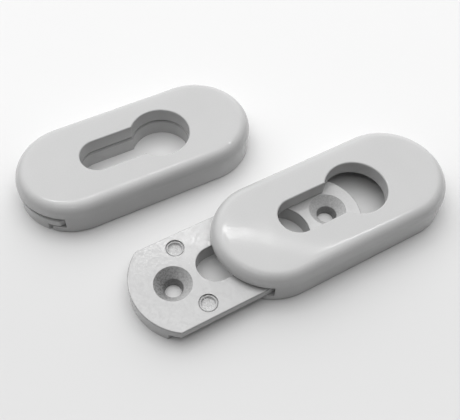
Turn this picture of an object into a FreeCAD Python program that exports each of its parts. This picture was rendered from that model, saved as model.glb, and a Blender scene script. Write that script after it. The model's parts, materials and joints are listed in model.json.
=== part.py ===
import FreeCAD, Part
import math
import os

# Pair of oval sliding escutcheons for a euro profile cylinder.
# Each unit is a T-section base plate that is screwed to the door, with two
# guide pads staked into it, and a cover that slides over the plate from its
# circle end and hides the screws.  One unit is closed, the other has its cover
# slid part of the way off.  Millimetres, +Z away from the door.
#
# Unit frame: origin at the centre of the cylinder hole on the door plane,
# +u from the slot end (mouth of the cover) to the circle end, +z outwards.

V = FreeCAD.Vector

# ---------------------------------------------------------------- dimensions
# cover
cover_length = 72.0        # overall
cover_width = 33.0         # overall, so both ends are 16.5 mm radius
cover_height = 10.0        # above the door plane
cover_clear_z = 0.15       # cover's foot stands clear of the door
cover_centre_u = -8.0      # middle of the cover, measured from the hole centre
top_round = 3.7            # soft rounding round the top edge
foot_round = 0.3           # small rounding round the foot
hole_edge_round = 0.4      # rounding of the cut-out's top edge

# euro profile cut-out in the cover
cover_circle_d = 17.5
cover_slot_w = 11.0
slot_centre_u = -19.3      # centre of the slot's rounded end

# channel inside the cover
rim_z = 5.6                # underside of the rim round the cut-out
ceiling_z = 6.4            # underside of the cover's roof elsewhere
channel_half = 14.5        # half width of the channel that takes the flange
lip_half = 12.15           # half width between the lips under the flange
lip_top_z = 2.4            # top of the lips
channel_end_u = 25.0       # closed end of the channel
core_roof_z = 7.9          # roof of the cored pocket
core_half = 12.7           # half width of the cored pocket
core_rim = 2.0             # rim left round the cut-out

# base plate
plate_top_z = 5.2
flange_thickness = 2.5
flange_half = 13.4         # half width of the flange
flange_end_u = 24.9        # round end of the flange
web_half = 11.0            # half width of the web under the flange
web_end_u = 22.4           # round end of the web
plate_end_r = 16.4         # bowed slot end, a touch inside the cover's outer arc
plate_corner_r = 0.8       # plan rounding of the flange's two corners
plate_edge_round = 0.3     # rounding of the top edges, cut-out included
rim_round = 0.15           # rounding of the countersinks' rims
plate_circle_d = 17.2
plate_slot_w = 10.5
plate_slot_centre_u = -19.75
screw_u = (-32.5, 16.2)    # the two screw holes
countersink_d = 10.4       # 90 degrees
throat_d = 5.5             # foot of the countersink, where the taper starts
screw_hole_d = 4.6
screw_hole_top_z = 1.5     # foot of the taper

# guide pads staked through the flange beside the slot
pad_u = -27.1
pad_v = 9.25
pad_body_r = 2.8           # under the flange, standing proud of the web
pad_body_foot_z = 0.3
pad_neck_r = 1.95
pad_seat_r = 2.6           # counterbored seat at the plate's top
pad_seat_z = 4.5           # floor of the seat
pad_head_r = 2.4           # staked head: a ring standing in the seat
pad_head_top_z = 4.95
pad_crater_r = 1.75        # hollow left in the head by the staking tool
pad_crater_z = 4.3
pad_pocket_clear = 0.05
pad_lip_clear = 0.10       # pad to lip

# placing of the pair
open_slide = 25.0          # how far the open unit's cover is slid off
open_offset_x = 15.5       # open unit's hole centre from the closed unit's
open_offset_y = -43.65
open_yaw_deg = 2.2

# --------------------------------------------------------------- derived
end_r = cover_width / 2.0
arc_u0 = cover_centre_u - cover_length / 2.0 + end_r     # slot-end arc centre
arc_u1 = cover_centre_u + cover_length / 2.0 - end_r     # circle-end arc centre
flange_under_z = plate_top_z - flange_thickness


def prism(edges, z0, z1):
    """Solid between two heights over a closed outline drawn at z = 0."""
    face = Part.Face(Part.Wire(edges))
    face.translate(V(0, 0, z0))
    return face.extrude(V(0, 0, z1 - z0))


def line(a, b):
    return Part.makeLine(V(a[0], a[1], 0), V(b[0], b[1], 0))


def arc(a, m, b):
    return Part.Arc(V(a[0], a[1], 0), V(m[0], m[1], 0), V(b[0], b[1], 0)).toShape()


def stadium(u0, u1, r, z0, z1):
    return prism([
        line((u0, -r), (u1, -r)),
        arc((u1, -r), (u1 + r, 0), (u1, r)),
        line((u1, r), (u0, r)),
        arc((u0, r), (u0 - r, 0), (u0, -r)),
    ], z0, z1)


def open_slot(u_mouth, u_end, half, z0, z1):
    """Slot open at u_mouth whose far end is a half circle reaching u_end."""
    uc = u_end - half
    return prism([
        line((u_mouth, -half), (uc, -half)),
        arc((uc, -half), (u_end, 0), (uc, half)),
        line((uc, half), (u_mouth, half)),
        line((u_mouth, half), (u_mouth, -half)),
    ], z0, z1)


def euro_profile(circle_d, slot_w, end_u, z0, z1):
    """Circle with a round-ended slot running to -u."""
    r, h = circle_d / 2.0, slot_w / 2.0
    uj = -math.sqrt(r * r - h * h)
    return prism([
        arc((uj, -h), (r, 0), (uj, h)),
        line((uj, h), (end_u, h)),
        arc((end_u, h), (end_u - h, 0), (end_u, -h)),
        line((end_u, -h), (uj, -h)),
    ], z0, z1)


def bow_ended(half, u_end, z0, z1):
    """Plate outline: outer arc of the cover at the slot end, half circle at the other."""
    ub = arc_u0 - math.sqrt(plate_end_r ** 2 - half * half)
    uc = u_end - half
    return prism([
        arc((ub, half), (arc_u0 - plate_end_r, 0), (ub, -half)),
        line((ub, -half), (uc, -half)),
        arc((uc, -half), (u_end, 0), (uc, half)),
        line((uc, half), (ub, half)),
    ], z0, z1)


def cylinder(u, v, r, z0, z1):
    return Part.makeCylinder(r, z1 - z0, V(u, v, z0))


def cone(u, v, r0, r1, z0, z1):
    return Part.makeCone(r0, r1, z1 - z0, V(u, v, z0))


def edges_at(shape, z, outer):
    """Edges lying at height z, of the outer outline or of the cut-out."""
    found = []
    for e in shape.Edges:
        b = e.BoundBox
        if abs(b.ZMin - z) > 1e-6 or abs(b.ZMax - z) > 1e-6:
            continue
        m = e.valueAt((e.FirstParameter + e.LastParameter) / 2.0)
        uc = min(max(m.x, arc_u0), arc_u1)
        on_outer = abs(math.hypot(m.x - uc, m.y) - end_r) < 1e-4
        if on_outer == outer:
            found.append(e)
    return found


def upright(e):
    """A straight edge that runs in z."""
    b = e.BoundBox
    return b.XLength < 1e-6 and b.YLength < 1e-6 and b.ZLength > 0.1


def make_cover():
    body = stadium(arc_u0, arc_u1, end_r, cover_clear_z, cover_height)
    body = body.makeFillet(top_round, edges_at(body, cover_height, True))
    body = body.makeFillet(foot_round, edges_at(body, cover_clear_z, True))
    far = arc_u0 - end_r - 5.0
    body = body.cut(open_slot(far, channel_end_u, channel_half, lip_top_z, rim_z))
    lip_end_u = channel_end_u - channel_half + lip_half
    body = body.cut(open_slot(far, lip_end_u, lip_half, -1.0, lip_top_z + 0.5))
    # roof over the channel and the cored pocket above it, leaving a rim round the cut-out
    rim = euro_profile(cover_circle_d + 2 * core_rim, cover_slot_w + 2 * core_rim, slot_centre_u, 0.0, 12.0)
    body = body.cut(open_slot(far, channel_end_u, channel_half, rim_z - 0.2, ceiling_z).cut(rim))
    body = body.cut(stadium(arc_u0, arc_u1, core_half, ceiling_z - 0.2, core_roof_z).cut(rim))
    body = body.cut(euro_profile(cover_circle_d, cover_slot_w, slot_centre_u, 1.0, 12.0))
    body = body.makeFillet(hole_edge_round, edges_at(body, cover_height, False))
    return body.removeSplitter()


def make_base_plate():
    body = bow_ended(flange_half, flange_end_u, flange_under_z, plate_top_z)
    corners = [e for e in body.Edges if upright(e) and e.BoundBox.XMin < arc_u0]
    body = body.makeFillet(plate_corner_r, corners)
    body = body.cut(euro_profile(plate_circle_d, plate_slot_w, plate_slot_centre_u, -1.0, 12.0))
    top = [e for e in body.Edges if e.BoundBox.ZMin > plate_top_z - 1e-6]
    body = body.makeFillet(plate_edge_round, top)
    web = bow_ended(web_half, web_end_u, 0.0, flange_under_z)
    web = web.cut(euro_profile(plate_circle_d, plate_slot_w, plate_slot_centre_u, -1.0, 12.0))
    body = body.fuse(web).removeSplitter()
    # countersinks: 90 degrees, then a tapered throat, then the screw's clearance hole
    throat_z = plate_top_z - (countersink_d - throat_d) / 2.0
    for u in screw_u:
        body = body.cut(cylinder(u, 0, screw_hole_d / 2.0, -1.0, 12.0))
        body = body.cut(cone(u, 0, screw_hole_d / 2.0, throat_d / 2.0, screw_hole_top_z, throat_z))
        body = body.cut(cone(u, 0, throat_d / 2.0, countersink_d / 2.0, throat_z, plate_top_z))
    rims = [e for e in body.Edges if e.BoundBox.ZMin > plate_top_z - 1e-6
            and any(math.hypot(p.Point.x - u, p.Point.y) < countersink_d / 2.0 + 0.01
                    for p in e.Vertexes for u in screw_u)]
    body = body.makeFillet(rim_round, rims)
    for v in (-pad_v, pad_v):
        body = body.cut(cylinder(pad_u, v, pad_body_r + pad_pocket_clear, -1.0, flange_under_z))
        body = body.cut(cylinder(pad_u, v, pad_neck_r, flange_under_z - 0.5, plate_top_z))
        body = body.cut(cylinder(pad_u, v, pad_seat_r, pad_seat_z, plate_top_z + 1.0))
    return body.removeSplitter()


def make_pad(side):
    v = side * pad_v
    body = cylinder(pad_u, v, pad_body_r, pad_body_foot_z, flange_under_z)
    # the outer side is trimmed where it would touch the cover's lip
    reach = lip_half - pad_lip_clear
    if pad_v + pad_body_r > reach:
        keep = Part.makeBox(20, reach, 20, V(pad_u - 10, 0 if side > 0 else -reach, -5))
        body = body.common(keep)
    body = body.fuse(cylinder(pad_u, v, pad_neck_r, flange_under_z - 0.1, pad_seat_z))
    body = body.fuse(cylinder(pad_u, v, pad_head_r, pad_seat_z, pad_head_top_z))
    body = body.cut(cylinder(pad_u, v, pad_crater_r, pad_crater_z, pad_head_top_z + 1.0))
    return body.removeSplitter()


def place(shape, slide=0.0, open_unit=False):
    """Unit frame to the pair's frame; slide moves a cover along +u first."""
    s = shape.copy()
    s.translate(V(slide, 0, 0))
    if open_unit:
        s.rotate(V(0, 0, 0), V(0, 0, 1), open_yaw_deg)
        s.translate(V(open_offset_x, open_offset_y, 0))
    return s


cover = make_cover()
plate = make_base_plate()
pads = {"left": make_pad(1), "right": make_pad(-1)}

nodes = {
    "closed_cover": place(cover),
    "closed_base_plate": place(plate),
    "closed_guide_pad_left": place(pads["left"]),
    "closed_guide_pad_right": place(pads["right"]),
    "open_cover": place(cover, open_slide, True),
    "open_base_plate": place(plate, 0.0, True),
    "open_guide_pad_left": place(pads["left"], 0.0, True),
    "open_guide_pad_right": place(pads["right"], 0.0, True),
}

os.makedirs("parts", exist_ok=True)
for name, shape in nodes.items():
    solids = shape.Solids
    assert len(solids) == 1 and solids[0].isValid(), name
    solids[0].exportStep("parts/%s.step" % name)
    b = solids[0].BoundBox
    print("%-24s vol %8.1f  x %7.2f %7.2f  y %7.2f %7.2f  z %6.2f %6.2f" % (
        name, solids[0].Volume, b.XMin, b.XMax, b.YMin, b.YMax, b.ZMin, b.ZMax))
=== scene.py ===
import bpy, bmesh, json, math
from mathutils import Vector, Matrix, noise


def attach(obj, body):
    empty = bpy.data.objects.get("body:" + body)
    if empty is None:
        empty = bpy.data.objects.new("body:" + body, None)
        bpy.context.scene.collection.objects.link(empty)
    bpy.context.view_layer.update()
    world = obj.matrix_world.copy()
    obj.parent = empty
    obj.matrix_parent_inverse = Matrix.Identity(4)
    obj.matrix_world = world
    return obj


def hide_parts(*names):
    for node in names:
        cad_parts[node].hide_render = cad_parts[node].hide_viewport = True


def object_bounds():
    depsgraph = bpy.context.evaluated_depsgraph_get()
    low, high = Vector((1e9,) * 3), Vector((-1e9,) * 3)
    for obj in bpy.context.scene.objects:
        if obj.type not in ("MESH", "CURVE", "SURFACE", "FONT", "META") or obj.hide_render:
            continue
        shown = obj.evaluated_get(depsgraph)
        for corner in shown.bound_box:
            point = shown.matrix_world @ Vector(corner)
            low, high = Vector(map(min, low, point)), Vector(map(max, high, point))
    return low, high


# Two oval sliding escutcheons for a euro profile cylinder: one closed, one with its cover slid part of the way off.
# CAD nodes: covers and base plates.  The staked guide pads are shown by finer meshes.

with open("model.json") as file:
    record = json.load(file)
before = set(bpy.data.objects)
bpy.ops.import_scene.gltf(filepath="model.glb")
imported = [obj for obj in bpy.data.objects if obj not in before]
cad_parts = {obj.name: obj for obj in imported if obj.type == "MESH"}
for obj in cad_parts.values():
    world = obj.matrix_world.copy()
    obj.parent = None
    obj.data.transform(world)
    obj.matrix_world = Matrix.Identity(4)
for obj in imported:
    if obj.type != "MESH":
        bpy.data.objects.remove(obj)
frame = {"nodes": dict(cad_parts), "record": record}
cad_lo, cad_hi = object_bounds()
nodes, record = frame["nodes"], frame["record"]
scene = bpy.context.scene
MM = 0.001

# ---------------------------------------------------------------- where things are, from the record
mount = {m["name"]: m for m in record["mounts"]}
slide_axis = {j["name"]: j["axis"] for j in record["behaviour"]["joints"]}["open_cover_slide"]
slide_back = -{j["name"]: j for j in record["behaviour"]["joints"]}["open_cover_slide"]["range_m"][0]
UNIT = {
    "closed": dict(pos=Vector(mount["closed_cylinder_hole"]["pos_m"]), yaw=0.0, slide=0.0),
    "open": dict(pos=Vector(mount["open_cylinder_hole"]["pos_m"]), yaw=math.atan2(slide_axis[1], slide_axis[0]),
                 slide=slide_back),
}
SCREW_U = (-32.5, 16.2)       # mm along the unit, from the cylinder hole
SINK_R = 5.2
PAD_U, PAD_V = -27.1, 9.25
PLATE_TOP, COVER_TOP = 5.2, 10.0
COVER_ENDS = (-27.5, 11.5)    # centres of the cover's round ends
FLAT_R = 12.8                 # half width of the cover's flat top


def to_row(unit, u, v, z):
    """Unit millimetres to a point in the row frame, metres."""
    a = UNIT[unit]["yaw"]
    return UNIT[unit]["pos"] + Vector((u * math.cos(a) - v * math.sin(a), u * math.sin(a) + v * math.cos(a), z)) * MM


# ---------------------------------------------------------------- node helpers
class Tree:
    """A material's node tree with short names for the few nodes that these finishes use."""

    def __init__(self, name):
        self.mat = bpy.data.materials.new(name)
        self.mat.use_nodes = True
        self.n, self.l = self.mat.node_tree.nodes, self.mat.node_tree.links
        self.n.clear()

    def node(self, kind, **inputs):
        nd = self.n.new(kind)
        for key, value in inputs.items():
            self.plug(nd, key, value)
        return nd

    def plug(self, nd, key, value):
        sock = nd.inputs[int(key[1:])] if key[0] == "_" and key[1:].isdigit() else nd.inputs[key.replace("_", " ")]
        if isinstance(value, bpy.types.NodeSocket):
            self.l.new(value, sock)
        else:
            sock.default_value = value

    def math(self, op, a, b=None, c=None, clamp=False):
        nd = self.n.new("ShaderNodeMath")
        nd.operation, nd.use_clamp = op, clamp
        for i, x in enumerate((a, b, c)):
            if x is not None:
                self.plug(nd, "_%d" % i, x)
        return nd.outputs[0]

    def vmath(self, op, a, b=None):
        nd = self.n.new("ShaderNodeVectorMath")
        nd.operation = op
        self.plug(nd, "_0", a)
        if b is not None:
            self.plug(nd, "_1", b)
        return nd.outputs[1] if op in ("LENGTH", "DISTANCE", "DOT_PRODUCT") else nd.outputs[0]

    def ramp(self, x, x0, x1, y0=0.0, y1=1.0, smooth=True):
        nd = self.n.new("ShaderNodeMapRange")
        nd.interpolation_type = "SMOOTHSTEP" if smooth else "LINEAR"
        for i, val in enumerate((x, x0, x1, y0, y1)):
            self.plug(nd, "_%d" % i, val)
        return nd.outputs[0]

    def noise(self, vec, scale, detail=2.0, rough=0.5, distortion=0.0):
        nd = self.n.new("ShaderNodeTexNoise")
        self.plug(nd, "Vector", vec)
        nd.inputs["Scale"].default_value = scale
        nd.inputs["Detail"].default_value = detail
        nd.inputs["Roughness"].default_value = rough
        nd.inputs["Distortion"].default_value = distortion
        return nd.outputs[0]

    def voronoi(self, vec, scale, feature="F1", smooth=0.5):
        nd = self.n.new("ShaderNodeTexVoronoi")
        nd.feature = feature
        self.plug(nd, "Vector", vec)
        nd.inputs["Scale"].default_value = scale
        if feature == "SMOOTH_F1":
            nd.inputs["Smoothness"].default_value = smooth
        return nd.outputs["Distance"]

    def unit_mm(self, unit, moving):
        """Position in the unit's own frame, in millimetres: it stays with the piece as the piece moves."""
        tc = self.n.new("ShaderNodeTexCoord")
        mp = self.n.new("ShaderNodeMapping")
        mp.vector_type = "TEXTURE"
        d = UNIT[unit]
        shift = Vector((math.cos(d["yaw"]), math.sin(d["yaw"]), 0)) * (d["slide"] if moving else 0.0)
        mp.inputs["Location"].default_value = d["pos"] + shift
        mp.inputs["Rotation"].default_value = (0, 0, d["yaw"])
        self.l.new(tc.outputs["Object"], mp.inputs["Vector"])
        return self.scaled(mp.outputs[0], 1000.0)

    def scaled(self, vec, k):
        nd = self.n.new("ShaderNodeVectorMath")
        nd.operation = "SCALE"
        self.l.new(vec, nd.inputs[0])
        nd.inputs["Scale"].default_value = k
        return nd.outputs[0]

    def grey(self, value):
        nd = self.n.new("ShaderNodeCombineColor")
        for i in range(3):
            self.plug(nd, "_%d" % i, value)
        return nd.outputs[0]

    def bump(self, height, distance, strength=1.0, normal=None):
        nd = self.n.new("ShaderNodeBump")
        self.plug(nd, "Height", height)
        nd.inputs["Distance"].default_value = distance
        self.plug(nd, "Strength", strength)
        if normal is not None:
            self.plug(nd, "Normal", normal)
        return nd.outputs[0]

    def finish(self, colour, roughness, normal=None, coat=0.0, coat_rough=0.05, ior=1.5, metallic=0.0, shine=0.5):
        b = self.n.new("ShaderNodeBsdfPrincipled")
        self.plug(b, "Specular IOR Level", shine)
        self.plug(b, "Base Color", colour)
        self.plug(b, "Roughness", roughness)
        b.inputs["IOR"].default_value = ior
        self.plug(b, "Metallic", metallic)
        b.inputs["Coat Weight"].default_value = coat
        b.inputs["Coat Roughness"].default_value = coat_rough
        if normal is not None:
            self.plug(b, "Normal", normal)
            if coat:
                self.plug(b, "Coat Normal", normal)
        out = self.n.new("ShaderNodeOutputMaterial")
        self.l.new(b.outputs[0], out.inputs[0])
        return self.mat


# ---------------------------------------------------------------- finishes
def soft_edge(t, p, yaw):
    """Normal of a cover whose paint film rounds off the line between the flat top and the edge radius."""
    sep = t.n.new("ShaderNodeSeparateXYZ")
    t.l.new(p, sep.inputs[0])
    x, y, z = sep.outputs
    du = t.math("SUBTRACT", x, t.math("MINIMUM", t.math("MAXIMUM", x, COVER_ENDS[0]), COVER_ENDS[1]))
    r = t.math("MAXIMUM", t.math("SQRT", t.math("ADD", t.math("MULTIPLY", du, du), t.math("MULTIPLY", y, y))), 0.01)
    rise = t.math("SUBTRACT", t.ramp(r, FLAT_R - 0.5, FLAT_R, 0.0, 0.031), t.ramp(r, FLAT_R - 0.01, FLAT_R + 0.01, 0.0, 0.065, smooth=False))
    fall = t.math("SUBTRACT", rise, t.ramp(r, FLAT_R, FLAT_R + 0.48, 0.0, 0.019, smooth=False))
    lean = t.math("ADD", fall, t.ramp(r, FLAT_R + 0.48, FLAT_R + 1.1, 0.0, 0.053))
    lean = t.math("MULTIPLY", lean, t.ramp(z, COVER_TOP - 1.5, COVER_TOP - 1.0))
    lean = t.math("DIVIDE", lean, r)
    c, s = math.cos(yaw), math.sin(yaw)
    out = t.n.new("ShaderNodeCombineXYZ")
    t.plug(out, "X", t.math("MULTIPLY", lean, t.math("SUBTRACT", t.math("MULTIPLY", du, c), t.math("MULTIPLY", y, s))))
    t.plug(out, "Y", t.math("MULTIPLY", lean, t.math("ADD", t.math("MULTIPLY", du, s), t.math("MULTIPLY", y, c))))
    return t.vmath("NORMALIZE", t.vmath("ADD", t.n.new("ShaderNodeNewGeometry").outputs["Normal"], out.outputs[0]))


def cover_paint(unit):
    """Stoved gloss paint: very fine orange peel, slow waviness, hardly any change of tone."""
    t = Tree(unit + "_cover_paint")
    p = t.unit_mm(unit, True)
    tone = t.noise(p, 0.045, 3.0, 0.55)
    fine = t.noise(p, 2.6, 3.0, 0.6)
    colour = t.math("ADD", t.ramp(tone, 0.3, 0.7, -0.008, 0.008), t.ramp(fine, 0.3, 0.7, 0.452, 0.468))
    rough = t.ramp(t.noise(p, 0.35, 3.0, 0.6), 0.3, 0.7, 0.055, 0.078)
    wave = t.bump(t.noise(p, 0.11, 1.0, 0.4), 0.02 * MM, normal=soft_edge(t, p, UNIT[unit]["yaw"]))
    peel = t.bump(t.noise(p, 0.9, 2.0, 0.5), 0.004 * MM, normal=wave)
    return t.finish(t.grey(colour), rough, peel)


def plate_paint(unit):
    """Thin satin paint over the raw casting: pebbly all over and coarse in the countersinks, which are darkened partly
    by paint lying thinly over the casting and partly by painted shade.
    """
    t = Tree(unit + "_plate_paint")
    p = t.unit_mm(unit, False)
    sep = t.n.new("ShaderNodeSeparateXYZ")
    t.l.new(p, sep.inputs[0])
    x, y, z = sep.outputs
    # 1 inside a countersink, 0 outside; the next mask is how much a countersink is darkened, partly paint lying thinly
    # over the casting and partly painted shade, most on the first sink's shaded side
    sink, bare_and_painted_shade, throat_painted_shade = None, None, None
    for u, least, most in ((SCREW_U[0], 0.18, 0.58), (SCREW_U[1], 0.0, 0.06)):
        du = t.math("SUBTRACT", x, u)
        d = t.math("SQRT", t.math("ADD", t.math("POWER", du, 2.0), t.math("POWER", y, 2.0)))
        inside = t.math("MULTIPLY", t.ramp(d, SINK_R - 0.1, SINK_R + 0.1, 1.0, 0.0),
                        t.ramp(z, PLATE_TOP - 0.12, PLATE_TOP - 0.02, 1.0, 0.0))
        inside = t.math("MULTIPLY", inside, t.ramp(z, 0.03, 0.10))  # not on the underside
        # painted shade: one side of each countersink is darkened, as if the light fell on it from the other side
        turn = t.math("DIVIDE", t.math("SUBTRACT", t.math("MULTIPLY", y, 0.5), t.math("MULTIPLY", du, 0.87)), SINK_R)
        here = t.math("MULTIPLY", inside, t.ramp(turn, -0.6, 0.7, least, most))
        sink = inside if sink is None else t.math("MAXIMUM", sink, inside)
        bare_and_painted_shade = here if bare_and_painted_shade is None else t.math("MAXIMUM", bare_and_painted_shade, here)
        # painted shade: the hole's neck below the countersink is darkened, as shade falls in a recess
        deep_painted_shade = t.math("MULTIPLY", inside, t.ramp(d, 2.72, 2.95, 0.62, 0.0))
        throat_painted_shade = deep_painted_shade if throat_painted_shade is None else t.math("MAXIMUM", throat_painted_shade, deep_painted_shade)
    top = t.ramp(z, PLATE_TOP - 0.15, PLATE_TOP - 0.01)
    pebble = t.noise(p, 0.95, 3.0, 0.6, 0.3)
    grit = t.noise(p, 2.0, 4.0, 0.65)
    pits = t.ramp(t.noise(p, 2.0, 3.0, 0.6, 0.2), 0.36, 0.56)
    tone = t.noise(p, 0.06, 3.0, 0.5)
    # paint lies thinly in the countersinks, so the grey casting shows with darker pits; on top of that is painted
    # shade, darker further down the countersink and in the hole's neck
    thin_paint_and_shade = t.math("MULTIPLY", bare_and_painted_shade, t.ramp(z, 1.0, PLATE_TOP, 1.45, 0.85, smooth=False))
    colour = t.math("ADD", t.ramp(tone, 0.3, 0.7, 0.450, 0.466),
                    t.math("MULTIPLY", t.ramp(grit, 0.3, 0.7, -0.07, 0.05), t.ramp(sink, 0.0, 1.0, 0.12, 1.0)))
    thin_paint_and_shade = t.math("MAXIMUM", t.math("MULTIPLY", thin_paint_and_shade, t.ramp(pits, 0.0, 1.0, 1.15, 0.85)), throat_painted_shade)
    colour = t.math("MULTIPLY", colour, t.math("SUBTRACT", 1.0, thin_paint_and_shade))
    # painted shade: a darker band along the top of the walls, just below their sharp upper edge
    edge = t.math("MULTIPLY", t.ramp(z, PLATE_TOP - 0.75, PLATE_TOP - 0.35), t.ramp(z, PLATE_TOP - 0.06, PLATE_TOP - 0.02, 1.0, 0.0))
    colour = t.math("MULTIPLY", colour, t.ramp(t.math("MULTIPLY", edge, t.math("SUBTRACT", 1.0, sink)), 0.0, 1.0, 1.0, 0.72))
    rough = t.math("ADD", t.ramp(t.noise(p, 0.5, 3.0, 0.6), 0.3, 0.7, 0.07, 0.11), t.math("MULTIPLY", sink, 0.34))
    n1 = t.bump(pebble, 0.017 * MM, strength=t.ramp(top, 0.0, 1.0, 0.10, 1.0))
    n2 = t.bump(grit, 0.06 * MM, strength=t.math("MAXIMUM", sink, t.ramp(top, 0.0, 1.0, 0.04, 0.17)), normal=n1)
    # the film is unevenly glossy, in flecks under a millimetre across
    flecks = t.math("MULTIPLY", t.ramp(t.noise(p, 1.6, 2.0, 0.5, 0.15), 0.40, 0.60, 0.30, 0.78), t.ramp(t.noise(p, 0.3, 2.0), 0.35, 0.65, 0.85, 1.0))
    shine = t.math("ADD", t.math("MULTIPLY", flecks, top), t.ramp(top, 0.0, 1.0, 0.5, 0.0))
    return t.finish(t.grey(colour), rough, n2, shine=shine)


def pad_nylon(unit):
    """Staked nylon: matt, scuffed and uneven on its head."""
    t = Tree(unit + "_pad_nylon")
    p = t.unit_mm(unit, False)
    fleck = t.noise(p, 2.2, 4.0, 0.65, 0.4)
    colour = t.math("ADD", t.ramp(fleck, 0.3, 0.7, 0.38, 0.56), t.ramp(t.noise(p, 6.0, 2.0), 0.3, 0.7, -0.03, 0.03))
    rough = t.ramp(t.noise(p, 1.4, 3.0), 0.3, 0.7, 0.34, 0.55)
    return t.finish(t.grey(colour), rough, t.bump(t.noise(p, 3.5, 4.0, 0.6), 0.05 * MM))


def floor_paper():
    t = Tree("floor_paper")
    tc = t.n.new("ShaderNodeTexCoord")
    tone = t.noise(tc.outputs["Object"], 6.0, 4.0, 0.5)
    # painted shade: the floor's colour darkens towards the front, away from the light behind the units
    along = t.vmath("DOT_PRODUCT", tc.outputs["Object"], (0.451, 0.892, 0.0))
    pale = t.math("ADD", t.ramp(tone, 0.3, 0.7, -0.004, 0.004), t.ramp(along, -0.050, 0.040, 0.63, 0.75))
    return t.finish(t.grey(pale), 0.85)


for unit in UNIT:
    for name, mat in ((unit + "_cover", cover_paint(unit)), (unit + "_base_plate", plate_paint(unit))):
        nodes[name].data.materials.clear()
        nodes[name].data.materials.append(mat)


# ---------------------------------------------------------------- staked guide pads
def ring_mesh(profile, segments, jitter):
    """Surface of revolution about z from (radius, height) pairs, first and last on the axis; jitter moves each vertex."""
    bm = bmesh.new()
    rings = []
    for i, (r, z) in enumerate(profile):
        if r < 1e-9:
            rings.append([bm.verts.new((0, 0, z))])
        else:
            rings.append([bm.verts.new((r * math.cos(2 * math.pi * k / segments), r * math.sin(2 * math.pi * k / segments), z))
                          for k in range(segments)])
    for a, b in zip(rings, rings[1:]):
        for k in range(segments):
            k2 = (k + 1) % segments
            if len(a) == 1:
                bm.faces.new((a[0], b[k], b[k2]))
            elif len(b) == 1:
                bm.faces.new((a[k], b[0], a[k2]))
            else:
                bm.faces.new((a[k], b[k], b[k2], a[k2]))
    for v in bm.verts:
        v.co = jitter(v.co.copy())
    bmesh.ops.recalc_face_normals(bm, faces=bm.faces)
    return bm


def pad_profile():
    """(radius, height) in millimetres from the foot's centre up to the crater's centre."""
    pts = [(0, 0.3), (0.9, 0.3), (1.8, 0.3), (2.5, 0.3), (2.66, 0.34), (2.76, 0.44), (2.8, 0.6)]
    pts += [(2.8, 0.6 + 0.5 * i) for i in range(1, 4)] + [(2.8, 2.5), (2.77, 2.62), (2.68, 2.69), (2.5, 2.7), (1.95, 2.7)]
    pts += [(1.95, 3.3), (1.95, 3.9), (1.95, 4.5), (2.15, 4.5), (2.32, 4.52), (2.37, 4.58), (2.36, 4.7), (2.31, 4.82)]
    pts += [(2.23, 4.91), (2.14, 4.95), (2.05, 4.93), (1.98, 4.87), (1.92, 4.77), (1.88, 4.62), (1.86, 4.46), (1.82, 4.32), (1.74, 4.24)]
    pts += [(1.65 - 0.1 * i, 4.22) for i in range(0, 16)] + [(0, 4.22)]
    return pts


def make_pad(unit, side, seed):
    off = Vector((seed * 7.3, seed * 3.1, seed * 11.7))
    pinch = math.radians({1: 250.0, -1: 92.0}[side])
    proud = math.radians({1: 30.0, -1: 116.0}[side])

    def jitter(co):
        r = math.hypot(co.x, co.y)
        a = math.atan2(co.y, co.x)
        n1 = noise.noise(co * 1.1 + off)
        n2 = noise.noise(co * 3.2 + off * 2)
        if co.z > 4.2:
            rough = 0.10 * n2 + 0.07 * noise.noise(co * 7.0 + off)
            if r < 1.75:                              # floor of the crater
                co.z += rough * 1.2
            else:                                     # rolled ring: uneven, pinched at one place and proud at another
                co.z += 0.10 * n1 + 0.4 * rough
                if co.z > 4.6:
                    d = abs((a - pinch + math.pi) % (2 * math.pi) - math.pi)
                    co.z -= 0.34 * math.exp(-(d / 0.13) ** 2)
                    d = abs((a - proud + math.pi) % (2 * math.pi) - math.pi)
                    co.z += 0.16 * math.exp(-(d / 0.22) ** 2)
                s = 1 + 0.03 * noise.noise(Vector((math.cos(a), math.sin(a), 0.3)) * 1.7 + off)
                co.x *= s
                co.y *= s
            co.z = min(co.z, 5.15)
        return co

    bm = ring_mesh(pad_profile(), 96, jitter)
    me = bpy.data.meshes.new("%s_staked_pad_%s" % (unit, "left" if side > 0 else "right"))
    bm.to_mesh(me)
    bm.free()
    for f in me.polygons:
        f.use_smooth = True
    a = UNIT[unit]["yaw"]
    me.transform(Matrix.Translation(to_row(unit, PAD_U, side * PAD_V, 0)) @ Matrix.Rotation(a, 4, "Z") @ Matrix.Scale(MM, 4))
    o = bpy.data.objects.new(me.name, me)
    scene.collection.objects.link(o)
    return o


seed = 1
for unit in UNIT:
    nylon = pad_nylon(unit)
    for side, word in ((1, "left"), (-1, "right")):
        pad = make_pad(unit, side, seed)
        seed += 1
        pad.data.materials.append(nylon)
        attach(pad, unit + "_base")
        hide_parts("%s_guide_pad_%s" % (unit, word))

# ---------------------------------------------------------------- floor
fm = bpy.data.meshes.new("floor")
fm.from_pydata([(-1.5, -1.5, 0), (1.5, -1.5, 0), (1.5, 1.5, 0), (-1.5, 1.5, 0)], [], [(0, 1, 2, 3)])
floor = bpy.data.objects.new("floor", fm)
floor.location = ((cad_lo.x + cad_hi.x) / 2, (cad_lo.y + cad_hi.y) / 2, cad_lo.z + 0.02 * MM)
scene.collection.objects.link(floor)
floor.data.materials.append(floor_paper())

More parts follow.
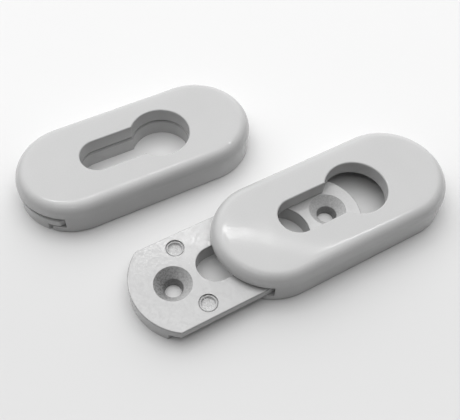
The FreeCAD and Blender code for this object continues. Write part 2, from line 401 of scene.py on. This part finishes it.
# ---------------------------------------------------------------- camera
cam_data = bpy.data.cameras.new("camera")
cam = bpy.data.objects.new("camera", cam_data)
scene.collection.objects.link(cam)
scene.camera = cam
cam_data.sensor_fit = "HORIZONTAL"
cam_data.sensor_width = 36.0
cam_data.lens = 686.8 / 460.0 * 36.0
cam_data.shift_x = 30.0 / 460.0
cam_data.shift_y = -22.0 / 460.0
cam_data.clip_start, cam_data.clip_end = 0.01, 20.0
heading, pitch, roll = math.radians(26.804), math.radians(53.54), 0.0063
forward = Vector((math.sin(heading) * math.cos(pitch), math.cos(heading) * math.cos(pitch), -math.sin(pitch)))
right = Vector((math.cos(heading), -math.sin(heading), 0.0))
up = right.cross(forward)
right, up = right * math.cos(roll) + up * math.sin(roll), up * math.cos(roll) - right * math.sin(roll)
cam.matrix_world = Matrix((
    (right.x, up.x, -forward.x, -0.049543),
    (right.y, up.y, -forward.y, -0.124590),
    (right.z, up.z, -forward.z, 0.163051),
    (0, 0, 0, 1)))

# ---------------------------------------------------------------- light
# A soft studio: broad pale panels overhead and behind, nothing low at the front.  Each panel is a smooth patch of sky:
# elevation and width of the ring, then (azimuth from the camera's heading, brightness), all in degrees.
PANELS = (
    (8, 20, ((-30, 0.426), (30, 1.020))),
    (28, 17, ((-65, 0.873), (-22, 0.962), (22, 0.996), (65, 0.023))),
    (48, 15, ((-75, 1.087), (-38, 0.932), (0, 0.709), (38, 0.427), (75, 0.629))),
    (68, 14, ((-150, 0.100), (-95, 0.740), (-45, 0.801), (0, 0.601), (45, 0.759), (95, 0.800), (150, 0.420))),
    (86, 12, ((0, 0.794),)),
)
# Thin tubes: azimuth, elevation, length and width in metres at one metre, brightness.
TUBES = (
    (-38.0, 57.1, 0.125, 0.024, 9.0), (-25.0, 57.1, 0.125, 0.024, 9.0), (-12.0, 57.1, 0.125, 0.024, 6.0),
    (-1.5, 57.1, 0.085, 0.022, 9.5), (5.0, 57.2, 0.045, 0.019, 6.3), (9.2, 57.2, 0.040, 0.018, 4.6),
    (13.5, 57.4, 0.045, 0.018, 2.3), (18.5, 57.4, 0.050, 0.018, 2.0),
    (27.0, 57.4, 0.110, 0.022, 8.0), (38.5, 57.2, 0.110, 0.024, 9.0), (50.0, 57.2, 0.110, 0.024, 9.0),
    (-125.0, 57.5, 0.120, 0.045, 9.0), (-145.0, 61.5, 0.140, 0.045, 9.0), (-166.0, 63.5, 0.120, 0.045, 9.0),
)


def sky(az, el):
    h, e = heading + math.radians(az), math.radians(el)
    return Vector((math.sin(h) * math.cos(e), math.cos(h) * math.cos(e), math.sin(e)))


world = bpy.data.worlds.new("studio")
scene.world = world
world.use_nodes = True
wn, wl = world.node_tree.nodes, world.node_tree.links
look = wn.new("ShaderNodeTexCoord").outputs["Generated"]


def wmath(op, x, *rest):
    nd = wn.new("ShaderNodeMath")
    nd.operation = op
    for i, v in enumerate((x,) + rest):
        if isinstance(v, bpy.types.NodeSocket):
            wl.new(v, nd.inputs[i])
        else:
            nd.inputs[i].default_value = v
    return nd.outputs[0]


total = None
for el, width, lobes in PANELS:
    k = 1.0 / math.radians(width) ** 2
    for az, weight in lobes:
        dot = wn.new("ShaderNodeVectorMath")
        dot.operation = "DOT_PRODUCT"
        wl.new(look, dot.inputs[0])
        dot.inputs[1].default_value = sky(az, el)
        lobe = wmath("MULTIPLY", wmath("EXPONENT", wmath("MULTIPLY_ADD", dot.outputs["Value"], k, -k)), weight)
        total = lobe if total is None else wmath("ADD", total, lobe)
# a fill from below the floor, which the floor keeps off everything above it
fall = wn.new("ShaderNodeSeparateXYZ")
wl.new(look, fall.inputs[0])
fill = wn.new("ShaderNodeMapRange")
fill.interpolation_type = "SMOOTHSTEP"
wl.new(fall.outputs[2], fill.inputs[0])
for i, v in enumerate((-0.10, -0.60, 0.0, 0.9)):
    fill.inputs[i + 1].default_value = v
total = wmath("ADD", total, fill.outputs[0])
wn["Background"].inputs[0].default_value = (1, 1, 1, 1)
wl.new(total, wn["Background"].inputs[1])

aim = Vector((0.008, -0.045, 0.010))
for i, (az, el, length, width, bright) in enumerate(TUBES):
    data = bpy.data.lights.new("tube_%02d" % i, "AREA")
    data.shape, data.size, data.size_y = "RECTANGLE", length, width
    data.energy = bright * math.pi * length * width
    tube = bpy.data.objects.new(data.name, data)
    back = sky(az, el)
    side = Vector((math.cos(heading + math.radians(az)), -math.sin(heading + math.radians(az)), 0.0))
    rise = back.cross(side)
    at = aim + back
    tube.matrix_world = Matrix((
        (side.x, rise.x, back.x, at.x), (side.y, rise.y, back.y, at.y), (side.z, rise.z, back.z, at.z), (0, 0, 0, 1)))
    tube.visible_camera = False
    scene.collection.objects.link(tube)

scene.view_settings.view_transform = "Standard"
